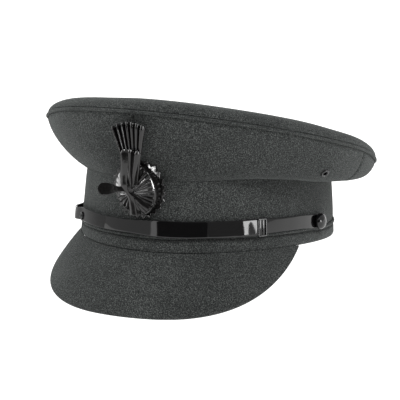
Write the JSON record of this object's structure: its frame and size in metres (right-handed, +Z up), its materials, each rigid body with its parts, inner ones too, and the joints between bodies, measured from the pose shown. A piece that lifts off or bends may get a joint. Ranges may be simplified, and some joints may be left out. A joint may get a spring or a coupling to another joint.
{
  "type": "chauffeur's peaked cap",
  "caption": "Peaked cap in dark grey wool cloth, with a flat round crown, stiff band, sloping cloth peak, black patent strap with slides and side buttons, and a black pleated cockade.",
  "frame": {"origin": "on the table under the middle of the resting cap's box", "axes": "+Z up from the table, -Y to the cap's front and peak, +X to the wearer's left"},
  "size_m": [0.2368, 0.2642, 0.1409],
  "materials": {
    "wool_cloth": "dark grey heather wool, matt with a soft nap",
    "patent_leather": "black patent, mirror gloss",
    "black_gloss": "black enamel gloss"
  },
  "bodies": {
    "root": {"crown_top": "wool_cloth", "crown_piping": "wool_cloth", "quarter_front_left": "wool_cloth", "quarter_front_right": "wool_cloth", "quarter_back_left": "wool_cloth", "quarter_back_right": "wool_cloth", "eyelet_left": "black_gloss", "eyelet_right": "black_gloss", "band": "wool_cloth", "band_piping": "wool_cloth", "band_foot": "wool_cloth", "peak": "wool_cloth", "strap_over": "patent_leather", "strap_under": "patent_leather", "slide_left": "black_gloss", "slide_right": "black_gloss", "button_left": "black_gloss", "button_right": "black_gloss", "cockade_ring": "patent_leather", "cockade_rosette": "patent_leather", "cockade_fan": "patent_leather", "cockade_fan_front": "patent_leather", "cockade_knot": "patent_leather"}
  },
  "joints": []
}
